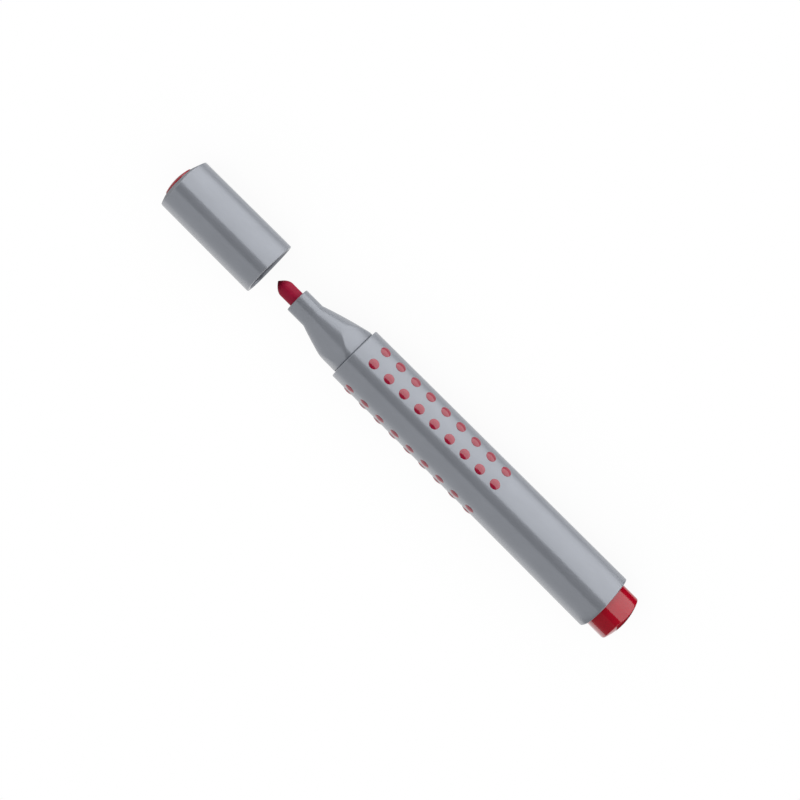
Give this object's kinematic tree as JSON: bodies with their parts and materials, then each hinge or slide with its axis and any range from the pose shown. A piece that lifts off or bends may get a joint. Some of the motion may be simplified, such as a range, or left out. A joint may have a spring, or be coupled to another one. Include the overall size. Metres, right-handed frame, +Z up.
{
  "type": "flipchart marker",
  "caption": "Three-sided felt marker with grip dots, a bullet nib in a tapered holder, a domed end plug and a pull-off cap lying in line with it.",
  "frame": {"origin": "under the middle of the whole layout, on the surface that the marker lies on, below its long axis", "axes": "+X along the marker from the end plug to the nib and the cap, +Z up through the upper corner of the three-sided body, +Y to the left of the writing direction"},
  "size_m": [0.1702, 0.0178, 0.0174],
  "materials": {
    "barrel_grey": "satin moulded grey plastic",
    "holder_grey": "satin moulded grey plastic",
    "cap_grey": "satin moulded grey plastic",
    "grip_red": "satin red plastic",
    "plug_red": "glossy red plastic",
    "insert_red": "glossy red plastic",
    "nib_fibre": "bonded fibre soaked with red ink",
    "core_fibre": "soft fibre core soaked with red ink",
    "film": "thin smooth plastic film"
  },
  "bodies": {
    "marker": {"barrel": "barrel_grey", "grip_strip_right_upper": "grip_red", "grip_strip_right_lower": "grip_red", "grip_strip_left_upper": "grip_red", "grip_strip_left_lower": "grip_red", "grip_strip_under_right": "grip_red", "grip_strip_under_left": "grip_red", "nib_holder": "holder_grey", "nib": "nib_fibre", "ink_reservoir": "core_fibre", "reservoir_film": "film", "end_plug": "plug_red"},
    "cap": {"cap_shell": "cap_grey", "cap_insert": "insert_red"}
  },
  "joints": [
    {"name": "cap_slide", "type": "slide", "parent": "marker", "child": "cap", "axis": [-1, 0, 0], "range_m": [0, 0.03221]}
  ]
}
